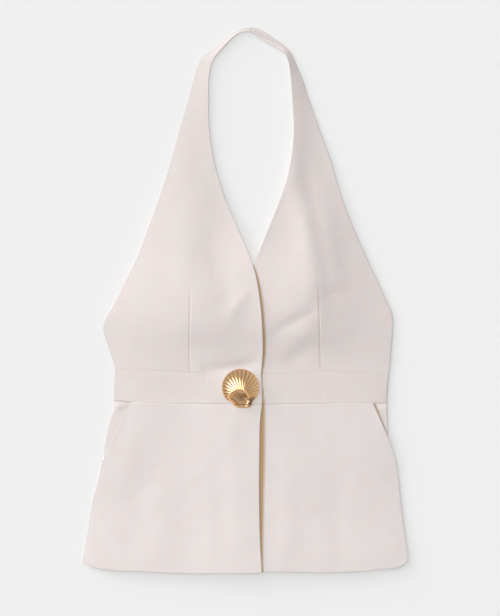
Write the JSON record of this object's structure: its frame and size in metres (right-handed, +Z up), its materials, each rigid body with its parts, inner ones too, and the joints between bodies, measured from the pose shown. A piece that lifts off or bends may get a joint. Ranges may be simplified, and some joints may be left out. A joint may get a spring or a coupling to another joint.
{
  "type": "backless halter waistcoat top",
  "caption": "Backless halter waistcoat top laid flat, with wrap-over darted fronts, a waistband, a flared peplum with slanted pocket mouths, and a scallop-shell button.",
  "frame": {"origin": "on the surface the top lies on, at the underside of the back waistband, below the centre front line", "axes": "+Z up from the surface, +Y from the hem towards the neck, +X towards the wearer's left side"},
  "size_m": [0.4227, 0.7096, 0.0198],
  "materials": {
    "ivory_crepe": "matt woven crepe with a fine crosswise slub, ivory with a faint rose cast",
    "brushed_gold": "cast and plated warm gold, satin on the ribs and darker in the grooves"
  },
  "bodies": {
    "root": {"front_bodice_right": "ivory_crepe", "front_bodice_left": "ivory_crepe", "front_waistband_right": "ivory_crepe", "front_waistband_left": "ivory_crepe", "front_peplum_right": "ivory_crepe", "front_peplum_left": "ivory_crepe", "pocket_piece_right": "ivory_crepe", "pocket_piece_left": "ivory_crepe", "back_bodice": "ivory_crepe", "back_waistband": "ivory_crepe", "back_peplum": "ivory_crepe", "shell_button": "brushed_gold"}
  },
  "joints": []
}
